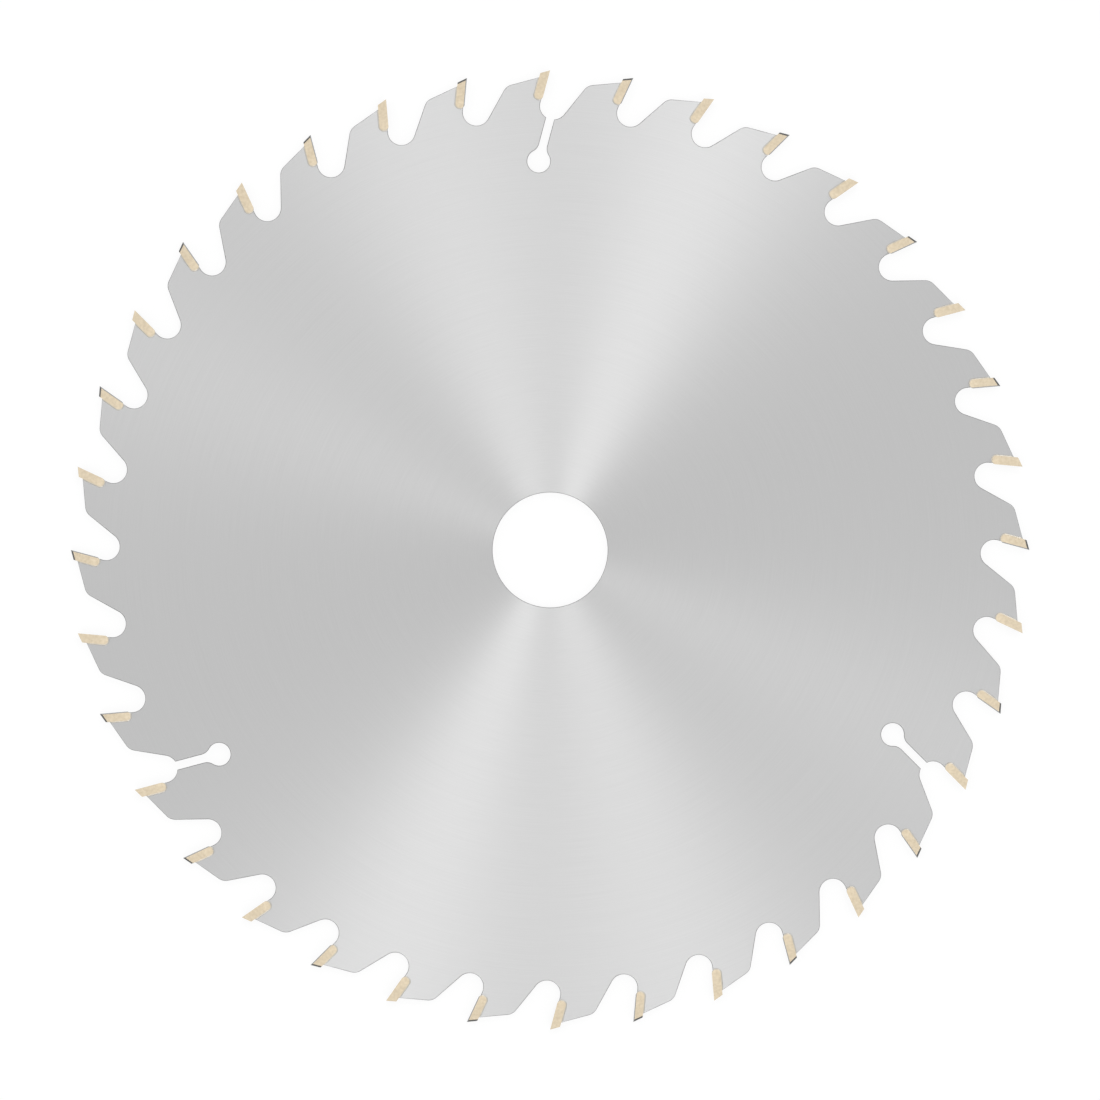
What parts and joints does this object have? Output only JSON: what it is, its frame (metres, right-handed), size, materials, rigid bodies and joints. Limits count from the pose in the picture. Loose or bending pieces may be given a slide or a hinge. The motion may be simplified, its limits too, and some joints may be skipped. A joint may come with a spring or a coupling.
{
  "type": "circular saw blade",
  "caption": "Flat round steel saw blade with forward-leaning hard-metal tipped teeth, deep round gullets, keyhole expansion slots and a plain centre bore.",
  "frame": {"origin": "centre of the arbor bore, at the plate's mid-thickness", "axes": "+Z along the arbor axis, out of the side from which the teeth point clockwise; +Y through the point of the first tooth, whose gullet has an expansion slot"},
  "size_m": [0.25, 0.25, 0.0032],
  "materials": {
    "ground_steel": "fine circular grind, satin, uncoated",
    "hard_metal": "sintered hard metal, tan with braze on its sides, ground dark grey on its top and rake face",
    "braze_alloy": "dull silver-brass brazing alloy"
  },
  "bodies": {
    "root": {"blade_plate": "ground_steel", "carbide_tip_01": "hard_metal", "carbide_tip_02": "hard_metal", "carbide_tip_03": "hard_metal", "carbide_tip_04": "hard_metal", "carbide_tip_05": "hard_metal", "carbide_tip_06": "hard_metal", "carbide_tip_07": "hard_metal", "carbide_tip_08": "hard_metal", "carbide_tip_09": "hard_metal", "carbide_tip_10": "hard_metal", "carbide_tip_11": "hard_metal", "carbide_tip_12": "hard_metal", "carbide_tip_13": "hard_metal", "carbide_tip_14": "hard_metal", "carbide_tip_15": "hard_metal", "carbide_tip_16": "hard_metal", "carbide_tip_17": "hard_metal", "carbide_tip_18": "hard_metal", "carbide_tip_19": "hard_metal", "carbide_tip_20": "hard_metal", "carbide_tip_21": "hard_metal", "carbide_tip_22": "hard_metal", "carbide_tip_23": "hard_metal", "carbide_tip_24": "hard_metal", "carbide_tip_25": "hard_metal", "carbide_tip_26": "hard_metal", "carbide_tip_27": "hard_metal", "carbide_tip_28": "hard_metal", "carbide_tip_29": "hard_metal", "carbide_tip_30": "hard_metal", "carbide_tip_31": "hard_metal", "carbide_tip_32": "hard_metal", "carbide_tip_33": "hard_metal", "carbide_tip_34": "hard_metal", "carbide_tip_35": "hard_metal", "carbide_tip_36": "hard_metal", "braze_seams": "braze_alloy"}
  },
  "joints": []
}
